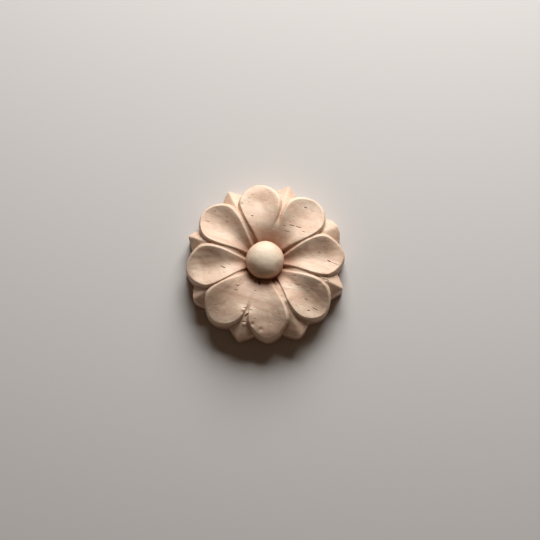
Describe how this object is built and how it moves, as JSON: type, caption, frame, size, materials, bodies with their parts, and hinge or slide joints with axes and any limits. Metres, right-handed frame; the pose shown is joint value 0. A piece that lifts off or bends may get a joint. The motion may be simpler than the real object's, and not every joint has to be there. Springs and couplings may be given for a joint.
{
  "type": "carved wooden rosette",
  "caption": "Small round flower rosette carved in wood, with scooped petals round a domed button, pointed sepals between them and a flat back for gluing to furniture.",
  "frame": {"origin": "centre of the flat back", "axes": "+Z out of the carved face, +Y along the petal that is at the top of the rosette, +X to the right as the carved face is looked at"},
  "size_m": [0.03, 0.03, 0.009],
  "materials": {
    "carved_wood": "bare pale pinkish-tan hardwood, carved and sanded, with fine dark pores; unvarnished and matt"
  },
  "bodies": {
    "root": {"carved_rosette": "carved_wood"}
  },
  "joints": []
}
